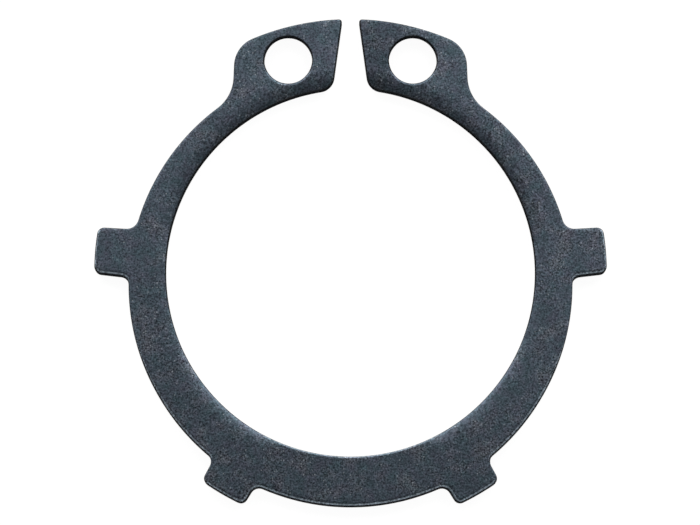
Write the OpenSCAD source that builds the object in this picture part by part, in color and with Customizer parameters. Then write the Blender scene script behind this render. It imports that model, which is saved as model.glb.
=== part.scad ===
// Spring clip: an external retaining ring for a 20 mm shaft, stamped in one piece from spring steel strip.
// The ring lies flat on z = 0, with the rolled edges of the die side uppermost.
// The origin is the centre of the shaft circle, and the gap between the ears points along +Y.

/* [Ring] */
// Diameter of the circle that grips the shaft, with the ring relaxed
inner_d = 18.5; // [15:0.1:24]
// Thickness of the steel strip
thickness = 1.2; // [0.6:0.05:2]
// Radial width of the rim opposite the gap, where it is widest
rim_w_bottom = 2.5; // [1.9:0.05:3]
// Radial width that the tapering rim comes down to at the gap
rim_w_top = 1.2; // [0.9:0.05:1.8]

/* [Lugs] */
// Radial distance from the shaft circle to the end of each lug
lug_reach = 3.57; // [3.3:0.01:4.6]
// Width of the two side lugs
side_lug_w = 2.34; // [1.6:0.02:3]
// Width of the two lower lugs
lower_lug_w = 2.44; // [1.6:0.02:3]
// Angle of each side lug above the X axis
side_lug_angle = 4.9; // [-10:0.1:15]
// Angle of each lower lug from the -Y axis
lower_lug_angle = 30; // [20:0.5:45]
// Lean of each flank of a lug towards the lug's own axis
lug_taper = 1.7; // [0:0.1:4]
// Radius of the outer corners of the lugs
lug_corner_r = 0.35; // [0.2:0.05:0.6]
// Radius of the fillets where the lugs meet the rim
lug_root_r = 0.45; // [0.2:0.05:0.6]
// Radius of the wider fillets above the side lugs
side_root_r = 0.6; // [0.2:0.05:0.8]

/* [Ears] */
// Radial distance from the shaft circle to the outer arc of the ears
ear_reach = 3.46; // [3.1:0.02:4.4]
// Width of the gap between the outer tips of the ears
gap_w = 0.82; // [0.6:0.02:1.4]
// Angle of each side of the gap, which widens towards the shaft
gap_flare = 7.9; // [4:0.1:12]
// Diameter of the holes for the tips of the pliers
hole_d = 2.4; // [1.6:0.05:2.8]
// Radial distance from the shaft circle to the centre of a hole
hole_reach = 1.86; // [1.6:0.02:2.2]
// Distance from the side of the gap to the centre of a hole
hole_to_gap = 2.41; // [2:0.01:3]
// Distance from the centre of a hole to the back of its ear
hole_to_back = 2.7; // [2.2:0.02:3.4]
// Lean of the back of an ear towards the gap
back_lean = 2.5; // [0:0.5:8]
// Radius of the shoulder at the top of the back
shoulder_r = 1.5; // [0.8:0.05:1.8]
// Radius of the sweep from the back of an ear into the rim
ear_root_r = 2; // [1:0.05:2.4]
// Radius of the outer corner of an ear at the gap
ear_tip_r = 0.14; // [0.12:0.01:0.4]
// Radius of the inner corner of an ear at the gap
ear_toe_r = 0.8; // [0.3:0.05:0.9]

/* [Edges] */
// Width of the rolled edge that the die leaves on the upper face
roll_w = 0.06; // [0.04:0.01:0.08]
// Depth of that rolled edge
roll_d = 0.05; // [0.03:0.01:0.08]
// Width of the small break on the lower edges
edge_break = 0.03; // [0.01:0.01:0.06]

/* [Hidden] */
$fn = 180;
// Share of the roll's width and depth that its steep outer facet takes
knee_w = 0.25;
knee_d = 0.6;
// How far each blending arc runs past the exact tangent, so that its surfaces cross cleanly
past = 0.01;
// How far the strip's edge is carried past both faces, before the faces are cut flat
skim = 0.005;
// How far a patch or cutter reaches past the surfaces that it blends
over = 0.25;
// How far it reaches past the sharp corner, as a share of the corner's distance from the arc's centre
far = 0.3;
// How far cutters reach past the faces of the strip
clear = 1;
inner_r = inner_d / 2;
rim_r = inner_r + (rim_w_bottom + rim_w_top) / 2;
rim_centre = [0, -(rim_w_bottom - rim_w_top) / 2];
lug_r = inner_r + lug_reach;
ear_r = inner_r + ear_reach;

// Edge of the strip in section, from below the lower face to above the upper one:
// [how far it stands in, height]
EDGE = [
    [edge_break + skim, -skim],
    [0, edge_break],
    [0, thickness - roll_d],
    [roll_w * knee_w, thickness - roll_d * (1 - knee_d)],
    [roll_w + skim * roll_w * (1 - knee_w) / (roll_d * (1 - knee_d)), thickness + skim]
];

// The edge drawn at the distance x, standing in towards +x or -x
function edge_at(x, side) = [for (p = EDGE) [x + side * p[0], p[1]]];

// An edge carried straight on, well clear of both faces
function tall(edge) =
    concat([[edge[0][0], -clear]], edge, [[edge[len(edge) - 1][0], thickness + clear]]);

function unit(a) = [cos(a), sin(a)];

// A straight side is [direction of its outward normal, distance of the side from the origin];
// this one has its normal along a and passes through the point p
function side_through(a, p) = [a, unit(a) * p];

// Side of the gap on the right ear, its hole and its back
GAP = side_through(180 + gap_flare, [gap_w / 2, sqrt(ear_r ^ 2 - (gap_w / 2) ^ 2)]);
hole_angle = gap_flare + acos((hole_to_gap - GAP[1]) / (inner_r + hole_reach));
HOLE = (inner_r + hole_reach) * unit(hole_angle);
BACK = side_through(back_lean, HOLE + hole_to_back * unit(back_lean));

// Flank of a lug of width w whose axis points along a; side is 1 on its anticlockwise flank, or -1
function flank(a, w, side) =
    side_through(a + side * (90 - lug_taper),
        (rim_r + lug_r) / 2 * unit(a) + side * w / 2 * unit(a + 90));

// Point at the distance r from c and at the height d over a straight side; turn is 1 for the
// point that lies further along the side, anticlockwise of its normal, or -1
function on_arc(c, r, line, d, turn) =
    let (u = line[1] + d - unit(line[0]) * c)
    c + u * unit(line[0]) + turn * sqrt(r ^ 2 - u ^ 2) * unit(line[0] + 90);

// Disc with the strip's edge
module round_pad(c, r) {
    translate(c) rotate_extrude()
        polygon(concat([[0, -skim]], edge_at(r, -1), [[0, thickness + skim]]));
}

// The same disc, carried on clear of both faces
module tall_pad(c, r) {
    translate(c) rotate_extrude()
        polygon(concat([[0, -clear]], tall(edge_at(r, -1)), [[0, thickness + clear]]));
}

// Cutter for holes and hollows, which leaves the strip's edge on what it cuts
module round_cut(c, r) {
    translate(c) rotate_extrude()
        polygon(concat([[0, -clear]], tall(edge_at(r, 1)), [[0, thickness + clear]]));
}

// A thing of the right side, and its mirror image
module both() {
    children();
    mirror([1, 0, 0]) children();
}

// Places a profile drawn as [distance outward, height] along a straight side
module along(line, from, to) {
    rotate(line[0]) translate([line[1], to, 0]) rotate([90, 0, 0])
        linear_extrude(height = to - from) children();
}

// Block with the strip's edge on one straight side, and its material behind that side
module straight_pad(line, from, to, depth) {
    along(line, from, to)
        polygon(concat(edge_at(0, -1), [[-depth, thickness + skim], [-depth, -skim]]));
}

// Cutter that leaves the strip's edge along a straight side, and clears what is in front of it
module straight_cut(line, from, to, depth) {
    along(line, from, to)
        polygon(concat([[depth, -clear]], tall(edge_at(0, -1)), [[depth, thickness + clear]]));
}

// Kite from the centre c of an arc, through its ends along a and b, to past the sharp corner
module kite(c, r, corner, a, b) {
    polygon([c, c + (r + over) * a, corner + far * (corner - c), c + (r + over) * b]);
}

// Cutter that rounds a sharp corner; a and b point from the arc's centre to its ends
module corner_cut(c, r, corner, a, b) {
    difference() {
        translate([0, 0, -clear / 2])
            linear_extrude(height = thickness + clear) kite(c, r, corner, a, b);
        tall_pad(c, r + past);
    }
}

// Rounds the corner between a straight side and an arc about the origin that bounds the steel
module outer_corner(line, arc_r, r, turn) {
    c = on_arc([0, 0], arc_r - r, line, -r, turn);
    corner_cut(c, r, on_arc([0, 0], arc_r, line, 0, turn), c / norm(c), unit(line[0]));
}

// Rounds the corner between a straight side and the shaft circle
module inner_corner(line, r, turn) {
    c = on_arc([0, 0], inner_r + r, line, -r, turn);
    corner_cut(c, r, on_arc([0, 0], inner_r, line, 0, turn), -c / norm(c), unit(line[0]));
}

// Fillet between the rim and a straight side that rises from it
module root(line, r, turn) {
    c = on_arc(rim_centre, rim_r + r, line, r, turn);
    to_rim = (rim_centre - c) / norm(rim_centre - c);
    difference() {
        translate([0, 0, -skim]) linear_extrude(height = thickness + 2 * skim)
            kite(c, r, on_arc(rim_centre, rim_r, line, 0, turn), to_rim, -unit(line[0]));
        round_cut(c, r + past);
    }
}

// Lug whose axis points along a, with its fillets; left_r is the fillet on its anticlockwise flank
module lug(a, w, left_r, right_r) {
    left = flank(a, w, 1);
    right = flank(a, w, -1);
    foot = inner_r + rim_w_top / 2;
    difference() {
        intersection() {
            round_pad([0, 0], lug_r);
            straight_pad(left, -lug_r - clear, -foot, 2 * w);
            straight_pad(right, foot, lug_r + clear, 2 * w);
        }
        outer_corner(left, lug_r, lug_corner_r, -1);
        outer_corner(right, lug_r, lug_corner_r, 1);
    }
    root(left, left_r, -1);
    root(right, right_r, 1);
}

// Both ears as one block, before the gap parts them
module ears() {
    difference() {
        intersection() {
            round_pad([0, 0], ear_r);
            straight_pad(BACK, inner_r / 2, ear_r + clear, 2 * ear_r);
            mirror([1, 0, 0]) straight_pad(BACK, inner_r / 2, ear_r + clear, 2 * ear_r);
        }
        both() outer_corner(BACK, ear_r, shoulder_r, 1);
    }
}

// Rim, ears and lugs before anything is cut away
module blank() {
    round_pad(rim_centre, rim_r);
    ears();
    both() {
        lug(side_lug_angle, side_lug_w, side_root_r, lug_root_r);
        lug(lower_lug_angle - 90, lower_lug_w, lug_root_r, lug_root_r);
        root(BACK, ear_root_r, 1);
    }
}

// The wedge between the ears
module gap() {
    intersection_for(side = [0, 1])
        mirror([side, 0, 0]) straight_cut(GAP, -ear_r - clear, -inner_r / 2, inner_r);
}

// The blank with the shaft circle, the gap and the holes cut, and the ears' corners rounded
module cut_blank() {
    difference() {
        difference() {
            difference() {
                difference() {
                    difference() {
                        blank();
                        round_cut([0, 0], inner_r);
                    }
                    gap();
                }
                both() round_cut(HOLE, hole_d / 2);
            }
            both() outer_corner(GAP, ear_r, ear_tip_r, -1);
        }
        both() inner_corner(GAP, ear_toe_r, -1);
    }
}

// Both faces are cut flat last, as one plane each
module spring_clip() {
    color([0.25, 0.29, 0.32]) intersection() {
        cut_blank();
        cylinder(h = thickness, r = lug_r + clear);
    }
}

spring_clip();
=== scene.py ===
"""A spring clip: an external retaining ring with lugs, stamped from spring steel and phosphated.

The ring lies flat with its rolled edges uppermost. Its sizes and its coat's are in millimetres
unless a docstring says otherwise. The surroundings and the finished meshes are in metres.
Angles are in degrees, and headings are anticlockwise from +X.
"""

import logging
import math
from dataclasses import astuple, dataclass, field
from enum import IntEnum
from functools import cache
from typing import NamedTuple

import bmesh
import bpy
from mathutils import Matrix, Vector


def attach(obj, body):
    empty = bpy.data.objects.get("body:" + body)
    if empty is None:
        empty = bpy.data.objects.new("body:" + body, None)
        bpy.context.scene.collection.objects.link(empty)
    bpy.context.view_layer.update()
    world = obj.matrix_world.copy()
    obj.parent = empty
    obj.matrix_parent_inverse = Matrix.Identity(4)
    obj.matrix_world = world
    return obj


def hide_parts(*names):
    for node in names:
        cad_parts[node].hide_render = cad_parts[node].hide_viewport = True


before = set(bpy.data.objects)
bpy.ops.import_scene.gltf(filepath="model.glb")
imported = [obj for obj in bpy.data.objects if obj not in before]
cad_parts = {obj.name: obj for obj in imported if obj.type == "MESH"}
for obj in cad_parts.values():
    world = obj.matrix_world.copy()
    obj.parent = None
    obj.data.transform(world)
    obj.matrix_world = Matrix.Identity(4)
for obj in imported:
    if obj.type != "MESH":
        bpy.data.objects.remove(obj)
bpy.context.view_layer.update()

log = logging.getLogger("spring_clip")
MM = 0.001
MM_PER_M = 1000.0
ORIGIN = Vector((0, 0, 0)).freeze()
UP = Vector((0, 0, 1)).freeze()
# Heading of the bottom of the ring, where its two halves meet
BOTTOM = -90.0
# Lengths in millimetres and angles that differ by less than this count as the same
SAME = 1e-6


class Way(IntEnum):
    """Which of the two crossings of a straight side and a circle is meant."""

    ALONG = 1
    AGAINST = -1


class Finish(IntEnum):
    """The finishes, in the order of the ring's material slots."""

    FACE = 0
    # The sheared wall's dark finish, which on the rounds of the edges is painted shade.
    WALL = 1
    # A brighter coat on some edges, which is a painted highlight.
    RUBBED = 2


class Arc(NamedTuple):
    """One bend of the outline, run from the heading start to the heading end."""

    centre: Vector
    radius: float
    start: float
    end: float


class Side(NamedTuple):
    """A straight side: the heading of its outward normal, and how far it is from the origin."""

    heading: float
    reach: float


class Zone(NamedTuple):
    """A stretch over which one thing changes smoothly into another."""

    start: float
    end: float

    def share(self, value: float, base: float = 0.0, scale: float = 1.0) -> float:
        """Finds how much of the change has taken place at a value.

        Args:
            value: Where along the stretch.
            base: What the stretch's two ends are measured from.
            scale: What they are counted in.

        Returns:
            0 before the stretch and 1 past it, with a smooth rise between them.
        """
        low = base + self.start * scale
        high = base + self.end * scale
        t = min(max((value - low) / (high - low), 0.0), 1.0)
        return t * t * (3 - 2 * t)


def unit(heading: float) -> Vector:
    """Returns the plan vector of length 1 that points along heading."""
    return Vector((math.cos(math.radians(heading)), math.sin(math.radians(heading)), 0.0))


def heading_of(v: Vector) -> float:
    """Returns the heading of a plan vector."""
    return math.degrees(math.atan2(v.y, v.x))


def side_through(heading: float, point: Vector) -> Side:
    """Returns the straight side with its outward normal along heading, through a point."""
    return Side(heading, unit(heading).dot(point))


def crossing(centre: Vector, radius: float, side: Side, height: float, way: Way) -> Vector:
    """Finds where a circle crosses a line parallel to a straight side.

    Args:
        centre: The circle's centre.
        radius: The circle's radius.
        side: The straight side.
        height: How far outside the side the line runs.
        way: Which crossing: further along the side, anticlockwise of its normal, or the other.

    Returns:
        The crossing's place in plan.
    """
    across = side.reach + height - unit(side.heading).dot(centre)
    along = math.sqrt(radius**2 - across**2)
    return centre + across * unit(side.heading) + way * along * unit(side.heading + 90)


@dataclass
class RingOutline:
    """The ring's outline in plan.

    Attributes:
        inner_d: Diameter of the circle that grips the shaft.
        rim_w_bottom: Width of the rim opposite the gap.
        rim_w_top: Width that the tapering rim comes down to at the gap.
        lug_reach: From the shaft circle to the end of each lug.
        side_lug_w: Width of the two side lugs.
        lower_lug_w: Width of the two lower lugs.
        side_lug_angle: Angle of each side lug above the X axis.
        lower_lug_angle: Angle of each lower lug from the -Y axis.
        lug_taper: Lean of each flank of a lug towards the lug's axis.
        lug_corner_r: Radius of the lugs' outer corners.
        lug_root_r: Radius of the fillets where the lugs meet the rim.
        side_root_r: Radius of the wider fillets above the side lugs.
        ear_reach: From the shaft circle to the outer arc of the ears.
        gap_w: Width of the gap between the outer tips of the ears.
        gap_flare: Angle of each side of the gap, which widens towards the shaft.
        hole_d: Diameter of the plier holes.
        hole_reach: From the shaft circle to the centre of a hole.
        hole_to_gap: From the side of the gap to the centre of a hole.
        hole_to_back: From the centre of a hole to the back of its ear.
        back_lean: Lean of the back of an ear towards the gap.
        shoulder_r: Radius of the shoulder at the top of the back.
        ear_root_r: Radius of the sweep from the back of an ear into the rim.
        ear_tip_r: Radius of an ear's outer corner at the gap.
        ear_toe_r: Radius of an ear's inner corner at the gap.
        ear_zone: Height over which the rim gives way to the ears, in shares of the rim's radius.
        point_gap: Distance between the points on a bend.
        fewest_steps: Fewest steps in a bend.
        side_cuts: Points inside each straight side.
        merge_gap: Distance below which the two halves' points are joined.
    """

    inner_d: float = 18.5
    rim_w_bottom: float = 2.5
    rim_w_top: float = 1.2
    lug_reach: float = 3.57
    side_lug_w: float = 2.34
    lower_lug_w: float = 2.44
    side_lug_angle: float = 4.9
    lower_lug_angle: float = 30.0
    lug_taper: float = 1.7
    lug_corner_r: float = 0.35
    lug_root_r: float = 0.45
    side_root_r: float = 0.6
    ear_reach: float = 3.46
    gap_w: float = 0.82
    gap_flare: float = 7.9
    hole_d: float = 2.4
    hole_reach: float = 1.86
    hole_to_gap: float = 2.41
    hole_to_back: float = 2.7
    back_lean: float = 2.5
    shoulder_r: float = 1.5
    ear_root_r: float = 2.0
    ear_tip_r: float = 0.14
    ear_toe_r: float = 0.8
    ear_zone: Zone = Zone(0.62, 0.8)
    point_gap: float = 0.1
    fewest_steps: int = 4
    side_cuts: int = 14
    merge_gap: float = 0.01

    def __post_init__(self) -> None:
        """Works out the radii and the straight sides that the outline is drawn on."""
        self.inner_r = self.inner_d / 2
        self.rim_r = self.inner_r + (self.rim_w_bottom + self.rim_w_top) / 2
        self.rim_centre = Vector((0, -(self.rim_w_bottom - self.rim_w_top) / 2, 0))
        self.lug_r = self.inner_r + self.lug_reach
        self.ear_r = self.inner_r + self.ear_reach
        self.ears_from = self.rim_r * self.ear_zone.start
        tip_x = self.gap_w / 2
        tip = Vector((tip_x, math.sqrt(self.ear_r**2 - tip_x**2), 0))
        self.gap_side = side_through(180 + self.gap_flare, tip)
        hole_r = self.inner_r + self.hole_reach
        swing = math.degrees(math.acos((self.hole_to_gap - self.gap_side.reach) / hole_r))
        self.hole = hole_r * unit(self.gap_flare + swing)
        self.back = side_through(
            self.back_lean, self.hole + self.hole_to_back * unit(self.back_lean)
        )

    def in_ear(self, place: Vector) -> float:
        """Returns how far a place belongs to the ears: 0 on the rim, and 1 in the ears."""
        return self.ear_zone.share(place.y, scale=self.rim_r)

    def from_gap(self, place: Vector) -> float:
        """Returns how far a place in an ear lies from the side of the gap."""
        on_right = Vector((abs(place.x), place.y, 0))
        return self.gap_side.reach - unit(self.gap_side.heading).dot(on_right)

    def root(self, side: Side, radius: float, way: Way) -> Arc:
        """Finds the fillet between the rim and a straight side that rises from it.

        Args:
            side: The straight side.
            radius: The fillet's radius.
            way: Which of the rim's two crossings with the side it lies at.

        Returns:
            The fillet, run clockwise from the end that is met first.
        """
        centre = crossing(self.rim_centre, self.rim_r + radius, side, radius, way)
        to_rim = heading_of(self.rim_centre - centre)
        to_side = side.heading + 180
        ends = (to_rim, to_side) if way is Way.ALONG else (to_side, to_rim)
        return Arc(centre, radius, *ends)

    def corner(self, side: Side, arc_r: float, radius: float, way: Way) -> Arc:
        """Finds the rounded corner between a straight side and an arc about the origin.

        Args:
            side: The straight side.
            arc_r: The arc's radius.
            radius: The corner's radius.
            way: Which of the arc's two crossings with the side it lies at.

        Returns:
            The corner, run anticlockwise.
        """
        centre = crossing(ORIGIN, arc_r - radius, side, -radius, way)
        to_arc = heading_of(centre)
        ends = (side.heading, to_arc) if way is Way.ALONG else (to_arc, side.heading)
        return Arc(centre, radius, *ends)

    def lug(self, axis: float, width: float, first_r: float, last_r: float) -> list[Arc]:
        """Lists the bends of one lug.

        Args:
            axis: Heading of the lug's axis.
            width: Width of the lug.
            first_r: Radius of the fillet that is met first, anticlockwise.
            last_r: Radius of the other fillet.

        Returns:
            The bends in anticlockwise order round the ring.
        """
        middle = (self.rim_r + self.lug_r) / 2 * unit(axis)
        lean = 90 - self.lug_taper
        first = side_through(axis - lean, middle - width / 2 * unit(axis + 90))
        last = side_through(axis + lean, middle + width / 2 * unit(axis + 90))
        start = self.corner(first, self.lug_r, self.lug_corner_r, Way.ALONG)
        end = self.corner(last, self.lug_r, self.lug_corner_r, Way.AGAINST)
        return [
            self.root(first, first_r, Way.ALONG),
            start,
            Arc(ORIGIN, self.lug_r, start.end, end.start),
            end,
            self.root(last, last_r, Way.AGAINST),
        ]

    def ear(self) -> list[Arc]:
        """Lists the bends of the right ear and the bore.

        Returns:
            The bends from the foot of the ear's back, round the ear, to the foot of the bore.
        """
        shoulder = self.corner(self.back, self.ear_r, self.shoulder_r, Way.ALONG)
        tip = self.corner(self.gap_side, self.ear_r, self.ear_tip_r, Way.AGAINST)
        toe_r = self.ear_toe_r
        toe = crossing(ORIGIN, self.inner_r + toe_r, self.gap_side, -toe_r, Way.AGAINST)
        return [
            self.root(self.back, self.ear_root_r, Way.ALONG),
            shoulder,
            Arc(ORIGIN, self.ear_r, shoulder.end, tip.start),
            tip,
            Arc(toe, toe_r, self.gap_side.heading, heading_of(-toe)),
            Arc(ORIGIN, self.inner_r, heading_of(toe), BOTTOM),
        ]

    def bends(self) -> list[Arc]:
        """Lists the bends of the right half.

        Returns:
            The bends from the bottom of the rim round to the foot of the bore, with the rim's
            own stretches between the lugs and the ear.
        """
        bends = self.lug(
            BOTTOM + self.lower_lug_angle, self.lower_lug_w, self.lug_root_r, self.lug_root_r
        )
        bends += self.lug(
            self.side_lug_angle, self.side_lug_w, self.lug_root_r, self.side_root_r
        )
        run = []
        reached = BOTTOM
        for bend in bends + self.ear():
            if self.is_fillet(bend):
                touches = heading_of(bend.centre - self.rim_centre)
                if abs(heading_of(self.rim_centre - bend.centre) - bend.start) < SAME:
                    run.append(Arc(self.rim_centre, self.rim_r, reached, touches))
                reached = touches
            run.append(bend)
        return run

    def is_fillet(self, bend: Arc) -> bool:
        """Tells whether a bend is a fillet on the rim, with the steel outside its circle."""
        clear = (bend.centre - self.rim_centre).length - self.rim_r
        return abs(clear - bend.radius) < SAME

    def turn_of(self, bend: Arc) -> float:
        """Works out which way and how far a bend turns.

        Args:
            bend: The bend.

        Returns:
            The angle of the turn, which is negative where the steel lies outside the circle.
        """
        turn = (bend.end - bend.start + 180) % 360 - 180
        if bend.radius == self.inner_r:
            return turn - 360 if turn > 0 else turn
        if self.is_fillet(bend):
            return turn
        return turn + 360 if turn < 0 else turn

    def draw_half(self, bm: bmesh.types.BMesh) -> None:
        """Draws the right half of the outline as a chain of edges.

        Args:
            bm: The mesh.
        """
        previous = None
        sides = []
        for bend in self.bends():
            turn = math.radians(self.turn_of(bend))
            start = bend.centre + bend.radius * unit(bend.start)
            vert = bmesh.ops.create_vert(bm, co=start)["vert"][0]
            spun = bmesh.ops.spin(
                bm,
                geom=[vert],
                cent=bend.centre,
                axis=UP,
                angle=turn,
                steps=max(self.fewest_steps, round(abs(turn) * bend.radius / self.point_gap)),
                use_merge=False,
            )
            if previous is not None:
                sides.append(bm.edges.new((previous, vert)))
            previous = spun["geom_last"][0]
        bmesh.ops.subdivide_edges(bm, edges=sides, cuts=self.side_cuts)

    def draw(self, bm: bmesh.types.BMesh) -> list[list[bmesh.types.BMEdge]]:
        """Draws the whole outline and the two plier holes.

        Args:
            bm: The mesh.

        Returns:
            The closed loops of edges: the outline, then the two holes.
        """
        self.draw_half(bm)
        bmesh.ops.mirror(
            bm, geom=bm.verts[:] + bm.edges[:], matrix=Matrix.Identity(4), merge_dist=0.0, axis="X"
        )
        bmesh.ops.remove_doubles(bm, verts=bm.verts[:], dist=self.merge_gap)
        loops = [bm.edges[:]]
        for side in (1, -1):
            spot = Vector((side * self.hole.x, self.hole.y, 0))
            steps = round(math.pi * self.hole_d / self.point_gap)
            made = bmesh.ops.create_circle(
                bm, radius=self.hole_d / 2, segments=steps, matrix=Matrix.Translation(spot)
            )
            loops.append(list(dict.fromkeys(e for v in made["verts"] for e in v.link_edges)))
        return loops


@dataclass(frozen=True)
class RolledEdge:
    """The section that stamping leaves along one stretch of an edge.

    Attributes:
        round_w: Width of the small round at the very edge of the upper face.
        round_d: Depth of that round.
        sag_w: Width over which the face dips towards the edge.
        sag_d: How far it has dipped at the edge.
    """

    round_w: float
    round_d: float
    sag_w: float
    sag_d: float

    def drop(self, inset: float) -> float:
        """Works out how far the upper face lies below its own plane.

        Args:
            inset: Distance from the edge.

        Returns:
            The drop.
        """
        sag = self.sag_d * max(0.0, 1 - inset / self.sag_w) ** 3
        out = max(0.0, 1 - inset / self.round_w)
        return sag + self.round_d * (1 - math.sqrt(1 - out * out))

    def inset_at(self, station: float) -> float:
        """Works out how far from the edge a station lies.

        Args:
            station: The station: 0 to 1 over the small round, and 1 to 2 over the rest of the sag.

        Returns:
            The distance from the edge.
        """
        if station <= 1:
            return self.round_w * station
        return self.round_w + (self.sag_w - self.round_w) * (station - 1)

    def mixed(self, other: "RolledEdge", share: float) -> "RolledEdge":
        """Returns this section with a share of another one mixed in."""
        pairs = zip(astuple(self), astuple(other))
        return RolledEdge(*(a + share * (b - a) for a, b in pairs))


@dataclass(frozen=True)
class EdgeSections:
    """The sections of the rolled edge round the ring, and the zones where they change.

    Attributes:
        outer: Outer edges that face +Y or sideways.
        low_outer: Outer edges that face -Y.
        lug_end: Ends of the side lugs.
        ear_back: Outer edges of the ears.
        bore: Lower half of the bore, beside its foot.
        side_bore: Sides of the bore.
        high_bore: Upper half of the bore.
        low_bore: Foot of the bore.
        ear_bore: Bore along the ears.
        gap: Both sides of the gap.
        hole: Plier holes at their sides.
        low_hole: Lower lips of the plier holes.
        high_hole: Upper lips of the plier holes.
        side_bore_zone: Heights between which bore becomes side_bore.
        high_bore_zone: Heights between which that becomes high_bore, in shares of inner_r.
        foot_zone: Distances from the middle between which low_bore ends, in shares of inner_r.
        facing_zone: How squarely an outer edge faces -Y where low_outer begins and is complete.
        lug_end_zone: Distances from lug_r, outward, between which lug_end begins.
        outer_zone: Distances from the bore between which its edge becomes an outer one.
        gap_zone: Distances from the side of the gap between which gap ends.
        low_hole_zone: How squarely a hole's edge faces +Y where low_hole begins and is complete.
        high_hole_zone: How squarely it faces -Y where high_hole begins and is complete.
    """

    outer: RolledEdge = RolledEdge(0.045, 0.04, 0.29, 0.008)
    low_outer: RolledEdge = RolledEdge(0.24, 0.08, 0.29, 0.003)
    lug_end: RolledEdge = RolledEdge(0.09, 0.05, 0.29, 0.003)
    ear_back: RolledEdge = RolledEdge(0.045, 0.04, 0.18, 0.005)
    bore: RolledEdge = RolledEdge(0.05, 0.045, 0.9, 0.053)
    side_bore: RolledEdge = RolledEdge(0.05, 0.045, 0.9, 0.03)
    high_bore: RolledEdge = RolledEdge(0.06, 0.05, 0.96, 0.085)
    low_bore: RolledEdge = RolledEdge(0.09, 0.055, 0.3, 0.002)
    ear_bore: RolledEdge = RolledEdge(0.06, 0.05, 0.3, 0.006)
    gap: RolledEdge = RolledEdge(0.09, 0.045, 0.11, 0.001)
    hole: RolledEdge = RolledEdge(0.08, 0.05, 0.17, 0.006)
    low_hole: RolledEdge = RolledEdge(0.05, 0.04, 0.17, 0.03)
    high_hole: RolledEdge = RolledEdge(0.035, 0.035, 0.17, 0.003)
    side_bore_zone: Zone = Zone(-4.5, -1.5)
    high_bore_zone: Zone = Zone(0.0, 0.3)
    foot_zone: Zone = Zone(0.34, 0.52)
    facing_zone: Zone = Zone(0.2, 0.5)
    lug_end_zone: Zone = Zone(-0.35, -0.1)
    outer_zone: Zone = Zone(0.02, 0.5)
    gap_zone: Zone = Zone(0.05, 0.5)
    low_hole_zone: Zone = Zone(0.0, 0.8)
    high_hole_zone: Zone = Zone(0.2, 0.8)

    def along_bore(self, outline: RingOutline, place: Vector) -> RolledEdge:
        """Finds the section of the bore's edge.

        Args:
            outline: The outline.
            place: The place on the bore.

        Returns:
            The section there.
        """
        edge = self.bore.mixed(self.side_bore, self.side_bore_zone.share(place.y))
        edge = edge.mixed(self.high_bore, self.high_bore_zone.share(place.y, scale=outline.inner_r))
        edge = edge.mixed(self.ear_bore, outline.in_ear(place))
        if place.y < 0:
            near_foot = 1 - self.foot_zone.share(abs(place.x), scale=outline.inner_r)
            edge = edge.mixed(self.low_bore, near_foot)
        return edge

    def along_outside(self, outline: RingOutline, place: Vector, inward: Vector) -> RolledEdge:
        """Finds the section of the outer edges.

        Args:
            outline: The outline.
            place: The place on the edge.
            inward: The way into the steel there.

        Returns:
            The section there.
        """
        facing_low = self.facing_zone.share(inward.y)
        edge = self.outer.mixed(self.low_outer, facing_low)
        if abs(place.y) < outline.side_lug_w:
            near_end = self.lug_end_zone.share(place.length, base=outline.lug_r)
            edge = edge.mixed(self.lug_end, near_end * (1 - facing_low))
        return edge.mixed(self.ear_back, outline.in_ear(place))

    def at(self, outline: RingOutline, place: Vector, inward: Vector) -> RolledEdge:
        """Finds the section at a place on the outline.

        Args:
            outline: The outline.
            place: The place.
            inward: The way into the steel there.

        Returns:
            The section there.
        """
        bore = self.along_bore(outline, place)
        outside = self.along_outside(outline, place, inward)
        edge = bore.mixed(outside, self.outer_zone.share(place.length - outline.inner_r))
        near_gap = 1 - self.gap_zone.share(outline.from_gap(place)) if place.y > 0 else 0.0
        return edge.mixed(self.gap, near_gap)

    def round_hole(self, inward: Vector) -> RolledEdge:
        """Returns the section at a place on a plier hole, from the way into the steel there."""
        edge = self.hole.mixed(self.low_hole, self.low_hole_zone.share(-inward.y))
        return edge.mixed(self.high_hole, self.high_hole_zone.share(inward.y))


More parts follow.
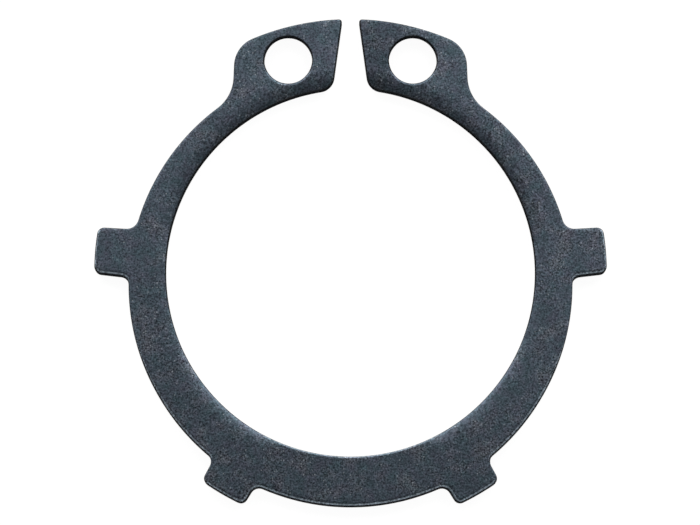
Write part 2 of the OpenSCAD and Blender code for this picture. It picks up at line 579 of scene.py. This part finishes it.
@dataclass(frozen=True)
class EarDip:
    """The dip that stamping leaves in the ears' upper face, towards the bore and the gap.

    Attributes:
        bore_w: Width of the dip towards the bore.
        bore_d: Its depth at the bore.
        gap_w: Width of the dip towards the gap.
        gap_d: Its depth at the gap.
        cut: Distance between the cuts that let the flat bend.
        columns: Cuts on each side of the middle.
        rows: Cuts across the ears.
        snap: Distance below which a cut runs through a point that is there already.
        upper: Height above which a point belongs to the upper face, in shares of the thickness.
    """

    bore_w: float = 0.95
    bore_d: float = 0.095
    gap_w: float = 0.9
    gap_d: float = 0.045
    cut: float = 0.2
    columns: int = 32
    rows: int = 30
    snap: float = 0.0001
    upper: float = 0.8

    def depth(self, outline: RingOutline, place: Vector) -> float:
        """Works out how far the ears' upper face lies below its own plane.

        Args:
            outline: The outline.
            place: The place.

        Returns:
            The depth of the dip there.
        """
        to_bore = max(0.0, Vector((place.x, place.y, 0)).length - outline.inner_r) / self.bore_w
        to_gap = max(0.0, outline.from_gap(place))
        bore = self.bore_d * max(0.0, 1 - to_bore) ** 2
        gap = self.gap_d * max(0.0, 1 - to_gap / self.gap_w) ** 2
        return outline.in_ear(place) * (bore + gap)

    def press(
        self,
        bm: bmesh.types.BMesh,
        flat: list[bmesh.types.BMFace],
        outline: RingOutline,
        thickness: float,
    ) -> None:
        """Presses the dip into the upper face.

        Args:
            bm: The mesh.
            flat: The faces of the upper face's flat.
            outline: The outline.
            thickness: Thickness of the strip.
        """
        mark = bm.faces.layers.int["flat"]
        for face in flat:
            face[mark] = 1
        start = outline.ears_from
        across = range(-self.columns, self.columns + 1)
        cuts = [(Vector((1, 0, 0)), k * self.cut) for k in across]
        cuts += [(Vector((0, 1, 0)), start + k * self.cut) for k in range(self.rows)]
        for normal, height in cuts:
            near = []
            for face in bm.faces:
                if face[mark] and max(v.co.y for v in face.verts) > start:
                    reach = [normal.dot(v.co) for v in face.verts]
                    if min(reach) < height < max(reach):
                        near.append(face)
            edges = dict.fromkeys(e for f in near for e in f.edges)
            verts = dict.fromkeys(v for f in near for v in f.verts)
            bmesh.ops.bisect_plane(
                bm,
                geom=[*verts, *edges, *near],
                dist=self.snap,
                plane_co=normal * height,
                plane_no=normal,
            )
        for v in bm.verts:
            if v.co.z > thickness * self.upper and v.co.y > start:
                v.co.z -= self.depth(outline, v.co)


@dataclass(frozen=True)
class EdgeShadeAndHighlight:
    """Which facets show the sheared wall's dark finish, also painted shade on rounds, and which a
    painted highlight.

    A lean is the upright part of a facet's normal: 1 on the flat, 0 on the wall and -1 on the
    underside. A facet whose lean is below the limit for its place shows the sheared wall's
    finish, and so the whole underside shows it too.

    Attributes:
        edge_lean: Limit on the edges in general.
        hole_gap_lean: Limit on the edges of the plier holes and the gap, where painted shade starts
            at a smaller tilt.
        low_side_lean: Limit in the lower half and on the lower lips of the plier holes, where
            painted shade starts only at a steeper tilt.
        outside_lean: Limit on the outer edges that face -Y.
        highlight_lean: Lean from which a facet shows no painted highlight any more.
        lug_end_lean: Lean up to which the end of a side lug shows no painted highlight.
        highlight_facing: How far an outer edge has to face -Y to take outside_lean and show the
            painted highlight.
        least_plan: Least length of a normal's plan, so that a flat facet has a facing.
        hole_margin: Width of the edge round a plier hole.
        gap_margin: Width of the edge along the gap.
        lug_margin: Width of the edge at the end of a lug.
        foot_margin: Width of the painted highlight at the foot of the bore.
        foot_reach: How far it reaches to each side, in shares of inner_r.
        outside_from: How far past the bore an outer edge begins, in shares of rim_w_top.
        outside_top: How high the painted highlights on the outer edges reach, in shares of inner_r.
        lip_from: How far below its centre a hole's lower lip begins, in shares of hole_d.
    """

    edge_lean: float = 0.93
    hole_gap_lean: float = 0.982
    low_side_lean: float = 0.78
    outside_lean: float = 0.95
    highlight_lean: float = 0.99
    lug_end_lean: float = 0.9
    highlight_facing: float = 0.3
    least_plan: float = 0.001
    hole_margin: float = 0.1
    gap_margin: float = 0.12
    lug_margin: float = 0.12
    foot_margin: float = 0.035
    foot_reach: float = 0.5
    outside_from: float = 0.5
    outside_top: float = 0.5
    lip_from: float = 0.25

    def finish_of(self, face: bmesh.types.BMFace, outline: RingOutline) -> Finish:
        """Chooses the finish of one facet.

        Args:
            face: The facet, with its corners in metres.
            outline: The outline.

        Returns:
            The finish.
        """
        place = face.calc_center_median() / MM
        lean = face.normal.z
        x = abs(place.x)
        y = place.y
        radius = math.hypot(x, y)
        to_hole = math.hypot(x - outline.hole.x, y - outline.hole.y)
        by_hole = to_hole < outline.hole_d / 2 + self.hole_margin
        by_gap = y > 0 and outline.from_gap(place) < self.gap_margin
        facing = -face.normal.y / max(face.normal.to_2d().length, self.least_plan)
        past_bore = radius > outline.inner_r + outline.rim_w_top * self.outside_from
        on_rim = past_bore and y < outline.inner_r * self.outside_top
        outside = on_rim and facing > self.highlight_facing
        low_lip = by_hole and y < outline.hole.y - outline.hole_d * self.lip_from
        low_side = y < 0 or low_lip
        limit = self.hole_gap_lean if by_hole or by_gap else self.edge_lean
        if outside:
            limit = self.outside_lean
        elif low_side:
            limit = self.low_side_lean
        # Below the limit a facet shows the dark wall finish, which on the rounds of the edges is
        # painted shade.
        if lean < limit:
            return Finish.WALL
        in_middle = y < 0 and x < outline.inner_r * self.foot_reach
        foot = in_middle and radius < outline.inner_r + self.foot_margin
        at_end = abs(y) < outline.side_lug_w and radius > outline.lug_r - self.lug_margin
        lug_end = at_end and lean > self.lug_end_lean
        # Outer edges facing -Y, the foot of the bore and the ends of the side lugs get a brighter
        # coat, a painted highlight.
        highlit = (outside or foot or lug_end) and lean < self.highlight_lean
        return Finish.RUBBED if highlit else Finish.FACE


class EdgePoint(NamedTuple):
    """A point of the outline, the way into the steel, and the edge's profile there."""

    at: Vector
    inward: Vector
    profile: list[tuple[float, float]]


@dataclass
class RetainingRing:
    """The ring itself, from its outline to its finished mesh.

    Attributes:
        thickness: Thickness of the strip.
        edge_break: Width of the small break on the lower edges.
        break_steps: Rings of points round that break.
        inner_ring: Inset of the first ring on the lower face, in widths of the break.
        wall_rings: Heights of the rings on the wall, in shares of the thickness.
        round_rings: Stations of the rings over the small round of the upper edge.
        sag_rings: Number of rings over the sag inside it.
        last_ring: Station of the last ring, which lies on the flat.
        outline: The outline.
        sections: The sections of the upper edge.
        ears: The dip in the ears.
        shade_and_highlight: Which facets show the dark wall finish, painted shade and painted
            highlights.
    """

    thickness: float = 1.2
    edge_break: float = 0.03
    break_steps: int = 2
    inner_ring: float = 3.0
    wall_rings: tuple[float, ...] = (0.3, 0.55, 0.75)
    round_rings: tuple[float, ...] = (0.0, 0.07, 0.16, 0.28, 0.42, 0.6, 0.8, 1.0)
    sag_rings: int = 7
    last_ring: float = 2.04
    outline: RingOutline = field(default_factory=RingOutline)
    sections: EdgeSections = EdgeSections()
    ears: EarDip = EarDip()
    shade_and_highlight: EdgeShadeAndHighlight = EdgeShadeAndHighlight()

    def profile(self, section: RolledEdge) -> list[tuple[float, float]]:
        """Lists the rings of points from the lower face, up the wall and over the edge.

        Args:
            section: The section of the rolled edge.

        Returns:
            The inset and the height of each ring.
        """
        b = self.edge_break
        rings = [(b * self.inner_ring, 0.0), (b, 0.0)]
        for k in range(1, self.break_steps + 1):
            a = math.radians(90 / self.break_steps * k)
            rings.append((b * (1 - math.sin(a)), b * (1 - math.cos(a))))
        rings += [(0.0, self.thickness * share) for share in self.wall_rings]
        stations = [*self.round_rings]
        stations += [1 + k / self.sag_rings for k in range(1, self.sag_rings + 1)]
        stations.append(self.last_ring)
        for station in stations:
            inset = section.inset_at(station)
            rings.append((inset, self.thickness - section.drop(inset)))
        return rings

    def edge_points(
        self, bm: bmesh.types.BMesh, loops: list[list[bmesh.types.BMEdge]]
    ) -> dict[int, EdgePoint]:
        """Works out the edge's profile at each point of the outline and the holes.

        Args:
            bm: The mesh.
            loops: The outline's loop and the holes' loops.

        Returns:
            The point and its profile, by the number in its layer "place".
        """
        place = bm.verts.layers.int["place"]
        points = {}
        for index, loop in enumerate(loops):
            for v, inward in self.inward_normals(loop, into_hole=index > 0):
                if index:
                    section = self.sections.round_hole(inward)
                else:
                    section = self.sections.at(self.outline, v.co, inward)
                points[v[place]] = EdgePoint(v.co.copy(), inward, self.profile(section))
        return points

    def raise_edge(
        self,
        bm: bmesh.types.BMesh,
        edges: list[bmesh.types.BMEdge],
        points: dict[int, EdgePoint],
    ) -> list[bmesh.types.BMEdge]:
        """Raises a closed loop of edges into the wall and the rolled edge above it.

        Args:
            bm: The mesh.
            edges: The loop, lying on the outline.
            points: The points of the outline, by the number in their layer "place".

        Returns:
            The loop's last edges, on the flat of the upper face.
        """
        place = bm.verts.layers.int["place"]
        levels = len(points[edges[0].verts[0][place]].profile)
        for level in range(levels):
            if level:
                made = bmesh.ops.extrude_edge_only(bm, edges=edges)["geom"]
                new = [g for g in made if isinstance(g, bmesh.types.BMEdge)]
                edges = [e for e in new if len(e.link_faces) == 1]
            for v in {v for e in edges for v in e.verts}:
                point = points[v[place]]
                inset, height = point.profile[level]
                v.co = point.at + point.inward * inset
                v.co.z = height
        return edges

    @staticmethod
    def inward_normals(
        loop: list[bmesh.types.BMEdge], into_hole: bool
    ) -> list[tuple[bmesh.types.BMVert, Vector]]:
        """Finds the way into the steel at each point of a closed loop.

        Args:
            loop: The loop's edges.
            into_hole: True for the loop of a hole, whose steel lies outside it.

        Returns:
            Each point with its plan vector of length 1.
        """
        members = set(loop)
        order = [loop[0].verts[0]]
        edge = loop[0]
        while True:
            following = edge.other_vert(order[-1])
            if following is order[0]:
                break
            order.append(following)
            edge = next(e for e in following.link_edges if e in members and e is not edge)
        points = [v.co for v in order]
        area = sum(a.x * b.y - b.x * a.y for a, b in zip(points, points[1:] + points[:1]))
        sign = (1 if area > 0 else -1) * (-1 if into_hole else 1)
        found = []
        for k, v in enumerate(order):
            step = points[(k + 1) % len(points)] - points[k - 1]
            found.append((v, Vector((-step.y, step.x, 0)).normalized() * sign))
        return found

    def build(self) -> bpy.types.Object:
        """Builds the ring's mesh.

        Returns:
            The ring as an object at the origin, with its place in its mesh.
        """
        bm = bmesh.new()
        place = bm.verts.layers.int.new("place")
        bm.faces.layers.int.new("flat")
        loops = self.outline.draw(bm)
        for number, v in enumerate(bm.verts):
            v[place] = number
        points = self.edge_points(bm, loops)
        lower = [e for loop in loops for e in loop]
        upper = [e for loop in loops for e in self.raise_edge(bm, loop, points)]
        bmesh.ops.triangle_fill(bm, use_beauty=True, use_dissolve=False, edges=lower)
        filled = bmesh.ops.triangle_fill(bm, use_beauty=True, use_dissolve=False, edges=upper)
        flat = [g for g in filled["geom"] if isinstance(g, bmesh.types.BMFace)]
        self.ears.press(bm, flat, self.outline, self.thickness)
        bmesh.ops.recalc_face_normals(bm, faces=bm.faces[:])
        bmesh.ops.scale(bm, vec=Vector((MM, MM, MM)), verts=bm.verts[:])
        bm.normal_update()
        for face in bm.faces:
            face.smooth = True
            face.material_index = self.shade_and_highlight.finish_of(face, self.outline)
        mesh = bpy.data.meshes.new("ring_steel")
        bm.to_mesh(mesh)
        bm.free()
        piece = bpy.data.objects.new("ring_steel", mesh)
        bpy.context.scene.collection.objects.link(piece)
        log.info("ring_steel: %d faces, %d points", len(mesh.polygons), len(mesh.vertices))
        return piece

    @staticmethod
    def dress(piece: bpy.types.Object, finishes: dict[Finish, bpy.types.Material]) -> None:
        """Gives the ring its finishes and its place in the frame.

        Args:
            piece: The ring's object.
            finishes: The material of each finish.
        """
        for finish in Finish:
            piece.data.materials.append(finishes[finish])
        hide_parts("spring_clip")
        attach(piece, "root")


class Noise(NamedTuple):
    """A noise pattern: features per millimetre, how many finer layers, and their strength."""

    scale: float
    detail: float
    roughness: float


class Spread(NamedTuple):
    """A range of values, and the range that it is spread onto, clamped at both ends."""

    low: float
    high: float
    to_low: float
    to_high: float


# What an input is fed with
Feed = bpy.types.NodeSocket | float | tuple[float, ...]


class NodeKit:
    """Short calls for the nodes and links of one shader tree."""

    def __init__(self, tree: bpy.types.ShaderNodeTree) -> None:
        """Takes the tree that the nodes go into."""
        self.tree = tree

    def node(self, kind: str, **settings: object) -> bpy.types.Node:
        """Adds a node.

        Args:
            kind: The node's type.
            **settings: Its properties.

        Returns:
            The node.
        """
        made = self.tree.nodes.new(kind)
        for key, value in settings.items():
            setattr(made, key, value)
        return made

    def feed(self, target: bpy.types.NodeSocket, value: Feed) -> None:
        """Feeds an input.

        Args:
            target: The input.
            value: A socket that is linked to it, or a number or numbers that it is set to.
        """
        if isinstance(value, bpy.types.NodeSocket):
            self.tree.links.new(value, target)
        else:
            target.default_value = value

    def math(self, operation: str, a: Feed, b: Feed) -> bpy.types.NodeSocket:
        """Adds a Math node.

        Args:
            operation: What it does.
            a: Its first input, a socket or a number.
            b: Its second input, likewise.

        Returns:
            Its output.
        """
        made = self.node("ShaderNodeMath", operation=operation)
        self.feed(made.inputs[0], a)
        self.feed(made.inputs[1], b)
        return made.outputs["Value"]

    def mix(self, factor: bpy.types.NodeSocket, a: Feed, b: Feed) -> bpy.types.NodeSocket:
        """Adds a mix of two colours.

        Args:
            factor: The share of the second colour.
            a: The first colour, a socket or four numbers.
            b: The second colour, likewise.

        Returns:
            The mixed colour.
        """
        made = self.node("ShaderNodeMix", data_type="RGBA")
        self.feed(made.inputs["Factor"], factor)
        self.feed(made.inputs["A"], a)
        self.feed(made.inputs["B"], b)
        return made.outputs["Result"]

    def scaled(self, vector: bpy.types.NodeSocket, scale: Feed) -> bpy.types.NodeSocket:
        """Adds a vector or a colour times a number.

        Args:
            vector: The vector or colour.
            scale: The number, as a socket or as itself.

        Returns:
            The product.
        """
        made = self.node("ShaderNodeVectorMath", operation="SCALE")
        self.feed(made.inputs[0], vector)
        self.feed(made.inputs["Scale"], scale)
        return made.outputs["Vector"]

    def place_in_mm(self) -> bpy.types.NodeSocket:
        """Returns the place on the object, in millimetres."""
        return self.scaled(self.node("ShaderNodeTexCoord").outputs["Object"], MM_PER_M)

    def noise(self, vector: bpy.types.NodeSocket, pattern: Noise) -> bpy.types.NodeSocket:
        """Adds a noise pattern.

        Args:
            vector: The place, in millimetres.
            pattern: The pattern.

        Returns:
            The noise, mostly between 0.3 and 0.7.
        """
        made = self.node("ShaderNodeTexNoise")
        self.feed(made.inputs["Vector"], vector)
        self.feed(made.inputs["Scale"], pattern.scale)
        self.feed(made.inputs["Detail"], pattern.detail)
        self.feed(made.inputs["Roughness"], pattern.roughness)
        return made.outputs["Fac"]

    def spread(self, value: bpy.types.NodeSocket, spread: Spread) -> bpy.types.NodeSocket:
        """Spreads a value's range onto another one.

        Args:
            value: The value.
            spread: The two ranges.

        Returns:
            The new value.
        """
        made = self.node("ShaderNodeMapRange", clamp=True)
        self.feed(made.inputs["Value"], value)
        for name, number in zip(("From Min", "From Max", "To Min", "To Max"), spread):
            self.feed(made.inputs[name], number)
        return made.outputs["Result"]

    def placed(self, tree: bpy.types.ShaderNodeTree, **values: Feed) -> bpy.types.Node:
        """Places a node group.

        Args:
            tree: The group.
            **values: Its inputs, by name.

        Returns:
            The group's node.
        """
        made = self.node("ShaderNodeGroup", node_tree=tree)
        for name, value in values.items():
            self.feed(made.inputs[name], value)
        return made


class ShaderGroup(NodeKit):
    """A shader node group under construction."""

    def __init__(self, name: str) -> None:
        """Starts an empty group.

        Args:
            name: The group's name.
        """
        super().__init__(bpy.data.node_groups.new(name, "ShaderNodeTree"))
        self.inner = self.node("NodeGroupInput")
        self.outer = self.node("NodeGroupOutput")

    def take(self, name: str, kind: str) -> bpy.types.NodeSocket:
        """Adds an input to the group.

        Args:
            name: The input's name.
            kind: The socket's type.

        Returns:
            The input, as seen inside the group.
        """
        self.tree.interface.new_socket(name, in_out="INPUT", socket_type=kind)
        return self.inner.outputs[name]

    def give(self, name: str, value: bpy.types.NodeSocket) -> None:
        """Adds an output with this name to the group, and feeds a value to it."""
        self.tree.interface.new_socket(name, in_out="OUTPUT", socket_type="NodeSocketFloat")
        self.feed(self.outer.inputs[name], value)


@dataclass(frozen=True)
class CrystalPattern:
    """The pattern of a phosphate coat's fine crystals.

    Attributes:
        fine: The crystals.
        cloud: Drifts where they stand closer or thinner.
        broad: Slow change over the whole ring.
        drift: Drift between the coat's two hues.
        cells: Places for bright crystals, in each millimetre.
        crowding: How much more of the bright ones stand in the drifts.
        fleck_size: Fading of a bright crystal from its middle to its rim.
        fleck_pick: Which of those places hold one.
        grain: Strength of the crystals' light and dark.
        crowded: How much stronger it is in the drifts.
        slow: The slow patterns' light and dark.
        hue: The drift's share of the second hue.
        fine_weight: Share of the crystals in the shade.
        cloud_weight: Share of the drifts.
        broad_weight: Share of the slow change.
        mean_shade: The shade that all of these are added to.
    """

    fine: Noise = Noise(11.5, 2.0, 0.7)
    cloud: Noise = Noise(1.1, 3.0, 0.55)
    broad: Noise = Noise(0.16, 1.0, 0.5)
    drift: Noise = Noise(1.5, 4.0, 0.7)
    cells: float = 9.0
    crowding: float = 0.5
    fleck_size: Spread = Spread(0.15, 0.42, 1.0, 0.0)
    fleck_pick: Spread = Spread(1.12, 1.24, 0.0, 1.0)
    grain: Spread = Spread(0.32, 0.72, -0.8, 1.25)
    crowded: Spread = Spread(0.4, 0.65, 0.65, 1.25)
    slow: Spread = Spread(0.3, 0.7, -1.0, 1.0)
    hue: Spread = Spread(0.34, 0.66, 0.0, 1.0)
    fine_weight: float = 0.8
    cloud_weight: float = 0.07
    broad_weight: float = 0.05
    mean_shade: float = 0.94

    def flecks(
        self, group: ShaderGroup, at: bpy.types.NodeSocket, cloud: bpy.types.NodeSocket
    ) -> bpy.types.NodeSocket:
        """Adds the few bright crystals.

        Args:
            group: The group that they go into.
            at: The place, in millimetres.
            cloud: The drifts.

        Returns:
            1 on a bright crystal and 0 off it.
        """
        cells = group.node("ShaderNodeTexVoronoi", feature="F1")
        group.feed(cells.inputs["Vector"], at)
        group.feed(cells.inputs["Scale"], self.cells)
        pick = group.node("ShaderNodeSeparateColor")
        group.feed(pick.inputs["Color"], cells.outputs["Color"])
        drawn = pick.outputs["Red"]
        crowd = group.math("ADD", drawn, group.math("MULTIPLY", cloud, self.crowding))
        spot = group.spread(cells.outputs["Distance"], self.fleck_size)
        return group.math("MULTIPLY", spot, group.spread(crowd, self.fleck_pick))

    def tree(self) -> bpy.types.ShaderNodeTree:
        """Builds the pattern's node group.

        Returns:
            A group with the input Contrast and the outputs Shade, Blotch, Hue, Fleck and Height.
        """
        group = ShaderGroup("crystal_grain")
        contrast = group.take("Contrast", "NodeSocketFloat")
        at = group.place_in_mm()
        fine = group.noise(at, self.fine)
        cloud = group.noise(at, self.cloud)
        grain = group.math(
            "MULTIPLY", group.spread(fine, self.grain), group.spread(cloud, self.crowded)
        )
        mist = group.spread(cloud, self.slow)
        wide = group.spread(group.noise(at, self.broad), self.slow)
        mixed = group.math("MULTIPLY", grain, self.fine_weight)
        mixed = group.math("ADD", mixed, group.math("MULTIPLY", mist, self.cloud_weight))
        mixed = group.math("ADD", mixed, group.math("MULTIPLY", wide, self.broad_weight))
        shade = group.math("MULTIPLY", mixed, contrast)
        group.give("Shade", group.math("ADD", shade, self.mean_shade))
        group.give("Blotch", cloud)
        group.give("Hue", group.spread(group.noise(at, self.drift), self.hue))
        group.give("Fleck", self.flecks(group, at, cloud))
        group.give("Height", fine)
        return group.tree


@cache
def crystal_grain() -> bpy.types.ShaderNodeTree:
    """Returns the group for the crystals, which is built once for all the finishes."""
    return CrystalPattern().tree()


@cache
def dark_patch() -> bpy.types.ShaderNodeTree:
    """Builds the group for a soft patch that darkens a colour, once for all the finishes.

    Returns:
        A group with the inputs Centre, Near, Far and Dark and the output Shade.
    """
    group = ShaderGroup("dark_patch")
    away = group.node("ShaderNodeVectorMath", operation="DISTANCE")
    group.feed(away.inputs[0], group.place_in_mm())
    group.feed(away.inputs[1], group.take("Centre", "NodeSocketVector"))
    fade = group.node("ShaderNodeMapRange", interpolation_type="SMOOTHSTEP")
    group.feed(fade.inputs["Value"], away.outputs["Value"])
    group.feed(fade.inputs["From Min"], group.take("Near", "NodeSocketFloat"))
    group.feed(fade.inputs["From Max"], group.take("Far", "NodeSocketFloat"))
    group.feed(fade.inputs["To Min"], group.take("Dark", "NodeSocketFloat"))
    group.feed(fade.inputs["To Max"], 1.0)
    group.give("Shade", fade.outputs["Result"])
    return group.tree


@dataclass(frozen=True)
class PhosphateCoat:
    """The dark blue-grey coat of the ring. Its colours are linear.

    Attributes:
        colour: The colour where it leans towards teal.
        plum: The colour where it leans towards plum.
        warm: The colour that its blotches lean towards.
        fleck: The colour of the few bright crystals.
        metallic: How far the steel shows through the crystals.
        specular: How strongly a part that isn't metallic reflects.
        roughness: Roughness of the coat.
        smoother: How much less that is in the hollows of the crystals.
        rougher: How much more it is on their tops.
        crystals: Range of the crystals' height over which the roughness changes.
        blotch: How far the blotches lean towards the warm colour.
        crystal_height: Height of the crystals in metres.
        contrast: Strength of the crystals' light and dark.
        patch_at: Centre of the darker patch.
        patch_near: Distance from its centre up to which it is at its darkest.
        patch_far: Distance from its centre at which it has faded.
        patch_dark: Share of the brightness that is left where it is darkest.
    """

    colour: tuple[float, float, float] = (0.049, 0.0720, 0.086)
    plum: tuple[float, float, float] = (0.060, 0.067, 0.0885)
    warm: tuple[float, float, float] = (0.070, 0.067, 0.075)
    fleck: tuple[float, float, float] = (0.22, 0.245, 0.27)
    metallic: float = 1.0
    specular: float = 0.5
    roughness: float = 0.35
    smoother: float = 0.05
    rougher: float = 0.07
    crystals: tuple[float, float] = (0.3, 0.7)
    blotch: Spread = Spread(0.5, 0.7, 0.0, 0.45)
    crystal_height: float = 0.000003
    contrast: float = 1.0
    patch_at: tuple[float, float, float] = (1.3, 10.8, 1.2)
    patch_near: float = 0.8
    patch_far: float = 2.8
    patch_dark: float = 0.72

    def material(self, name: str) -> bpy.types.Material:
        """Builds the coat's material.

        Args:
            name: The material's name.

        Returns:
            The material, with its pattern on Object coordinates.
        """
        coat = bpy.data.materials.new(name)
        coat.use_nodes = True
        kit = NodeKit(coat.node_tree)
        shader = coat.node_tree.nodes["Principled BSDF"].inputs
        grain = kit.placed(crystal_grain(), Contrast=self.contrast).outputs
        # A soft patch that darkens the colour beside the gap, centred on the right ear.
        patch = kit.placed(
            dark_patch(),
            Centre=self.patch_at,
            Near=self.patch_near,
            Far=self.patch_far,
            Dark=self.patch_dark,
        ).outputs
        tint = kit.mix(grain["Hue"], (*self.colour, 1), (*self.plum, 1))
        tint = kit.mix(kit.spread(grain["Blotch"], self.blotch), tint, (*self.warm, 1))
        shade = kit.math("MULTIPLY", grain["Shade"], patch["Shade"])
        shaded = kit.scaled(tint, shade)
        kit.feed(shader["Base Color"], kit.mix(grain["Fleck"], shaded, (*self.fleck, 1)))
        rough = (self.roughness - self.smoother, self.roughness + self.rougher)
        rough_spread = Spread(*self.crystals, *rough)
        kit.feed(shader["Roughness"], kit.spread(grain["Height"], rough_spread))
        kit.feed(shader["Metallic"], self.metallic)
        kit.feed(shader["Specular IOR Level"], self.specular)
        bump = kit.node("ShaderNodeBump")
        kit.feed(bump.inputs["Distance"], self.crystal_height)
        kit.feed(bump.inputs["Strength"], 1.0)
        kit.feed(bump.inputs["Height"], grain["Height"])
        kit.feed(shader["Normal"], bump.outputs["Normal"])
        log.info("%s: %d nodes", name, len(coat.node_tree.nodes))
        return coat


FACE_COAT = PhosphateCoat()
# A brighter copy of the coat, which is a painted highlight on the edges that it is given to.
PAINTED_HIGHLIGHT_COAT = PhosphateCoat(
    colour=(0.24, 0.30, 0.345),
    plum=(0.25, 0.29, 0.345),
    warm=(0.14, 0.16, 0.18),
    fleck=(0.42, 0.48, 0.53),
    roughness=0.36,
)
# The sheared wall's rough finish, darkened partly as painted shade; on the rounds of the edges it
# is painted shade only.
SHEARED_WALL_AND_SHADE = PhosphateCoat(
    colour=(0.017, 0.0195, 0.022),
    plum=(0.018, 0.0195, 0.022),
    warm=(0.023, 0.0205, 0.020),
    fleck=(0.035, 0.038, 0.042),
    metallic=0.0,
    specular=0.0,
    roughness=0.8,
    crystal_height=0.00001,
)


@dataclass(frozen=True)
class SoftLamp:
    """A soft rectangular lamp that is aimed at the ring.

    Attributes:
        name: The lamp's name.
        heading: Its heading from the ring.
        height: Its height above the floor's horizon, as an angle.
        size: Its width and height in metres.
        glow: How bright its face is, where 1 is white.
    """

    name: str
    heading: float
    height: float
    size: tuple[float, float]
    glow: float

    def hang(self, far: float) -> None:
        """Hangs the lamp.

        Args:
            far: Its distance from the ring in metres.
        """
        data = bpy.data.lights.new(self.name, "AREA")
        data.shape = "RECTANGLE"
        data.size, data.size_y = self.size
        data.energy = self.glow * math.pi * data.size * data.size_y
        lamp = bpy.data.objects.new(self.name, data)
        up = math.radians(self.height)
        lamp.location = unit(self.heading) * far * math.cos(up)
        lamp.location.z = far * math.sin(up)
        lamp.visible_camera = False
        lamp.rotation_euler = lamp.location.to_track_quat("Z", "Y").to_euler()
        bpy.context.scene.collection.objects.link(lamp)
        log.info("%s: hung", self.name)


@dataclass(frozen=True)
class Surroundings:
    """The floor, the lamps, the room and the camera round the ring, in metres.

    Attributes:
        floor_size: Half the floor's width.
        floor_drop: How far the floor lies below the ring, so that their faces don't fight.
        floor_white: How white the floor is seen, where 1 is white.
        floor_grey: How much light the floor gives back to the ring.
        room_grey: Brightness of the room.
        lamps: The lamps.
        lamp_far: Distance of the lamps from the ring.
        camera_far: Distance of the camera from its aim.
        camera_height: Height of the camera above the floor's horizon, as an angle.
        camera_clip: Distances from the camera between which things are seen.
        lens: Focal length of the camera in millimetres.
        film: Width of its film in millimetres.
        aim: What it is aimed at.
    """

    floor_size: float = 2.0
    floor_drop: float = 0.00002
    floor_white: float = 0.95
    floor_grey: float = 0.08
    room_grey: float = 0.09
    lamps: tuple[SoftLamp, ...] = (
        SoftLamp("lamp_right", 55, 58, (0.168, 0.168), 10.4),
        SoftLamp("lamp_left", 125, 58, (0.168, 0.168), 7.9),
        SoftLamp("lamp_front", -88, 36, (1.0, 0.3), 1.2),
        SoftLamp("lamp_back", 90, 32, (0.8, 0.3), 2.2),
    )
    lamp_far: float = 0.42
    camera_far: float = 0.3
    camera_height: float = 85.7
    camera_clip: tuple[float, float] = (0.01, 10.0)
    lens: float = 308.5
    film: float = 36.0
    aim: tuple[float, float, float] = (-0.000026, 0.000459, 0.0012)

    def floor(self) -> None:
        """Lays a white floor under the ring, which keeps its shadow."""
        bm = bmesh.new()
        bmesh.ops.create_grid(bm, x_segments=1, y_segments=1, size=self.floor_size)
        mesh = bpy.data.meshes.new("floor")
        bm.to_mesh(mesh)
        bm.free()
        plane = bpy.data.objects.new("floor", mesh)
        plane.location.z = -self.floor_drop
        bpy.context.scene.collection.objects.link(plane)
        mesh.materials.append(self.floor_paint())

    def floor_paint(self) -> bpy.types.Material:
        """Builds the floor's paint.

        Returns:
            A material that is seen white, and lights the ring no more than grey paint would.
        """
        paint = bpy.data.materials.new("floor_white")
        paint.use_nodes = True
        kit = NodeKit(paint.node_tree)
        shader = paint.node_tree.nodes["Principled BSDF"].inputs
        kit.feed(shader["Base Color"], (*[self.floor_grey] * 3, 1))
        kit.feed(shader["Roughness"], 1.0)
        kit.feed(shader["Specular IOR Level"], 0.0)
        kit.feed(shader["Emission Color"], (1, 1, 1, 1))
        path = kit.node("ShaderNodeLightPath").outputs
        seen = kit.math("ADD", path["Is Camera Ray"], path["Is Glossy Ray"])
        seen = kit.math("ADD", seen, path["Is Transmission Ray"])
        kit.feed(shader["Emission Strength"], kit.math("MULTIPLY", seen, self.floor_white))
        return paint

    def room(self) -> None:
        """Makes the even grey of the room."""
        world = bpy.data.worlds.new("room")
        world.use_nodes = True
        back = world.node_tree.nodes["Background"].inputs
        back["Color"].default_value = (*[self.room_grey] * 3, 1)
        back["Strength"].default_value = 1.0
        bpy.context.scene.world = world

    def camera(self) -> None:
        """Sets the camera almost straight above the ring, a little to its near side."""
        data = bpy.data.cameras.new("camera")
        data.lens = self.lens
        data.sensor_width = self.film
        data.clip_start, data.clip_end = self.camera_clip
        cam = bpy.data.objects.new("camera", data)
        up = math.radians(self.camera_height)
        back = Vector((0, -math.cos(up), math.sin(up)))
        cam.location = Vector(self.aim) + back * self.camera_far
        cam.rotation_euler = back.to_track_quat("Z", "Y").to_euler()
        bpy.context.scene.collection.objects.link(cam)
        bpy.context.scene.camera = cam

    def build(self) -> None:
        """Builds the floor, the room, the lamps and the camera."""
        self.floor()
        self.room()
        for lamp in self.lamps:
            lamp.hang(self.lamp_far)
        self.camera()
        log.info("surroundings: floor, room, %d lamps and camera", len(self.lamps))


def main() -> None:
    """Builds the ring and its surroundings."""
    logging.basicConfig(level=logging.INFO, format="%(message)s")
    bpy.context.scene.view_settings.view_transform = "Standard"
    clip = RetainingRing()
    finishes = {
        Finish.FACE: FACE_COAT.material("face_coat"),
        # The wall finish is also painted shade on the rounds of the edges.
        Finish.WALL: SHEARED_WALL_AND_SHADE.material("wall_and_shade_coat"),
        # The last finish is a painted highlight.
        Finish.RUBBED: PAINTED_HIGHLIGHT_COAT.material("painted_highlight_coat"),
    }
    clip.dress(clip.build(), finishes)
    Surroundings().build()


if __name__ == "__main__":
    main()
